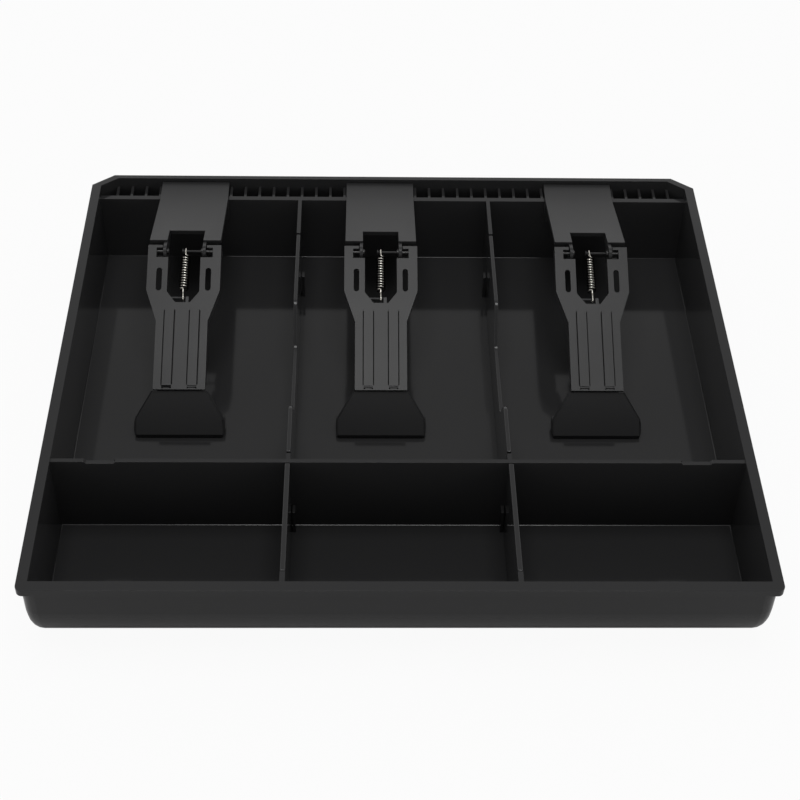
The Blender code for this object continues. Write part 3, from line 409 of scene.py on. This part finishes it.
def softened(node, finish, width, steps=ROUND_STEPS, angle=SHARP_EDGE, groove=None):
    """A copy of a solid whose outer edges are rounded, and whose flats stay optically flat; given a groove
    finish, its grooves' inner faces take that painted shade.
    """
    mesh = bpy.data.meshes.new(node + "_moulding")
    for skin in filter(None, (finish, groove)):
        mesh.materials.append(skin)
    work = bmesh.new()
    work.from_mesh(NODES[node].data)
    bmesh.ops.remove_doubles(work, verts=work.verts, dist=MERGE)
    bmesh.ops.dissolve_limit(work, angle_limit=ONE_FLAT, verts=work.verts, edges=work.edges)
    rounds = set()
    for radius, depth in ((width, DEEP_FACE * width), (width * FINE_SHARE, 0.0)):
        edges = [edge for edge in outer_edges(work, angle, radius, depth)
                 if not rounds.intersection(edge.link_faces)]
        made = bmesh.ops.bevel(work, geom=edges, offset=radius, offset_type="OFFSET", segments=steps,
                               profile=0.5, affect="EDGES", clamp_overlap=True, material=-1)
        rounds = {face for face in rounds if face.is_valid} | set(made["faces"])
    bmesh.ops.dissolve_degenerate(work, dist=MERGE, edges=work.edges)
    rounds = {face for face in rounds if face.is_valid}
    for edge in work.edges:
        if len(edge.link_faces) == 2:
            one, two = edge.link_faces
            small, large = sorted((one.calc_area(), two.calc_area()))
            flat = large > FLAT_SHARE * small and edge.calc_face_angle(0.0) > TURNED
            creased = edge.calc_face_angle(0.0) > CREASE
            edge.smooth = not ((one in rounds) != (two in rounds) or flat or creased)
    # Painted shade: the grooves' inner faces take the darker groove finish
    for face in work.faces:
        face.material_index = 1 if groove and in_groove(face) else 0
    bmesh.ops.triangulate(work, faces=[face for face in work.faces if len(face.verts) > 4])
    for face in work.faces:
        face.smooth = True
    work.to_mesh(mesh)
    work.free()
    if mesh.has_custom_normals:
        mesh.attributes.remove(mesh.attributes["custom_normal"])
    return finished(link(bpy.data.objects.new(node + "_moulding", mesh)), node)


def soft_step(nodes, links, level, marks, values):
    """Eases from one value to another while a level passes between two marks."""
    step = nodes.new("ShaderNodeMapRange")
    step.interpolation_type = "SMOOTHSTEP"
    links.new(level, step.inputs["Value"])
    step.inputs["From Min"].default_value, step.inputs["From Max"].default_value = marks
    step.inputs["To Min"].default_value, step.inputs["To Max"].default_value = values
    return step.outputs["Result"]


def studio_world():
    """A white backdrop behind the object, which fades upwards, and a dim room behind the camera."""
    world = bpy.data.worlds.new("studio")
    bpy.context.scene.world = world
    world.use_nodes = True
    nodes = world.node_tree.nodes
    links = world.node_tree.links
    back = nodes["Background"]
    place = nodes.new("ShaderNodeTexCoord")
    part = nodes.new("ShaderNodeSeparateXYZ")
    links.new(place.outputs["Generated"], part.inputs["Vector"])
    levels = []
    for fade, glow in ((ROOM_FADE, ROOM_GLOW), (BACKDROP_FADE, CEILING_GLOW),
                       (OVERHEAD_FADE, OVERHEAD_GLOW)):
        heights = [math.sin(angle) for angle in fade]
        levels.append(soft_step(nodes, links, part.outputs["Z"], heights, (1.0, glow)))
    behind, ahead, overhead = levels
    room = nodes.new("ShaderNodeMapRange")
    links.new(soft_step(nodes, links, part.outputs["Y"], ROOM_TURN, (0.0, 1.0)), room.inputs["Value"])
    links.new(behind, room.inputs["To Min"])
    links.new(ahead, room.inputs["To Max"])
    dimmed = nodes.new("ShaderNodeMath")
    dimmed.operation = "MULTIPLY"
    links.new(room.outputs["Result"], dimmed.inputs[0])
    links.new(overhead, dimmed.inputs[1])
    path = nodes.new("ShaderNodeLightPath")
    seen = nodes.new("ShaderNodeMath")
    seen.operation = "MAXIMUM"
    links.new(path.outputs["Is Camera Ray"], seen.inputs[0])
    links.new(path.outputs["Is Transmission Ray"], seen.inputs[1])
    level = nodes.new("ShaderNodeMapRange")
    level.inputs["To Max"].default_value = 1.0
    links.new(seen.outputs["Value"], level.inputs["Value"])
    links.new(dimmed.outputs["Value"], level.inputs["To Min"])
    links.new(level.outputs["Result"], back.inputs["Strength"])
    back.inputs["Color"].default_value = (1.0, 1.0, 1.0, 1.0)


def paper_table():
    """A plain white table, which keeps the object's shadow."""
    mesh = bpy.data.meshes.new("table")
    work = bmesh.new()
    bmesh.ops.create_grid(work, x_segments=1, y_segments=1, size=TABLE_SIZE)
    work.to_mesh(mesh)
    work.free()
    table = link(bpy.data.objects.new("table", mesh))
    material, shader, nodes, links = shader_of("table_paper")
    shader.inputs["Base Color"].default_value = (TABLE_WHITE, TABLE_WHITE, TABLE_WHITE, 1.0)
    shader.inputs["Roughness"].default_value = TABLE_ROUGHNESS
    shader.inputs["Specular IOR Level"].default_value = 0.0
    glow = nodes.new("ShaderNodeEmission")
    mix = nodes.new("ShaderNodeMixShader")
    path = nodes.new("ShaderNodeLightPath")
    shown = nodes.new("ShaderNodeMath")
    shown.operation = "MULTIPLY"
    shown.inputs[1].default_value = TABLE_GLOW
    links.new(path.outputs["Is Camera Ray"], shown.inputs[0])
    links.new(shown.outputs["Value"], mix.inputs["Fac"])
    links.new(shader.outputs["BSDF"], mix.inputs[1])
    links.new(glow.outputs["Emission"], mix.inputs[2])
    links.new(mix.outputs["Shader"], nodes["Material Output"].inputs["Surface"])
    mesh.materials.append(material)


def soft_box(name, place, size, watts):
    """A square lamp that faces the object."""
    light = bpy.data.lights.new(name, "AREA")
    light.shape = "SQUARE"
    light.size = size
    light.energy = watts
    lamp = link(bpy.data.objects.new(name, light))
    lamp.location = place
    lamp.rotation_euler = Vector(place).to_track_quat("Z", "Y").to_euler()


TRAY_BLACK = moulded_plastic("tray_black", colour=(0.022, 0.022, 0.0225), roughness=0.09, level=0.28,
                             grain=0.02)
CLIP_BLACK = moulded_plastic("clip_black", colour=(0.020, 0.020, 0.0205), roughness=0.36, level=0.205,
                             grain=0.2)
# Painted shade for the clips' grooves: far darker than the clip, and rougher
GROOVE_PAINTED_SHADE = moulded_plastic("clip_groove_painted_shade", colour=(0.004, 0.004, 0.004), roughness=0.6,
                               level=0.08, grain=0.1)
# The spring wire: dark steel, painted light on the top of each turn's outer side as a highlight
WIRE = steel("spring_wire", bright=(0.80, 0.77, 0.70), dull=(0.03, 0.029, 0.026), roughness=0.12,
             painted_highlight=True)
PIN = steel("dark_pin", bright=(0.07, 0.07, 0.07), dull=(0.03, 0.03, 0.03), roughness=0.35)

camera()
studio_world()
paper_table()
soft_box("top_box", LAMP_PLACE, LAMP_SIZE, LAMP_WATTS)
for node in NODES:
    if node == "tray_body" or "divider" in node:
        softened(node, TRAY_BLACK, TRAY_ROUND)
    elif "pin" in node:
        softened(node, PIN, PIN_ROUND, steps=PIN_STEPS, angle=SHARP_PIN_EDGE)
    elif "arm" in node:
        softened(node, CLIP_BLACK, CLIP_ROUND, groove=GROOVE_PAINTED_SHADE)
    elif "spring" not in node:
        softened(node, CLIP_BLACK, CLIP_ROUND)
for side in ("left", "centre", "right"):
    clip_spring(side)

bpy.context.scene.view_settings.view_transform = "Standard"
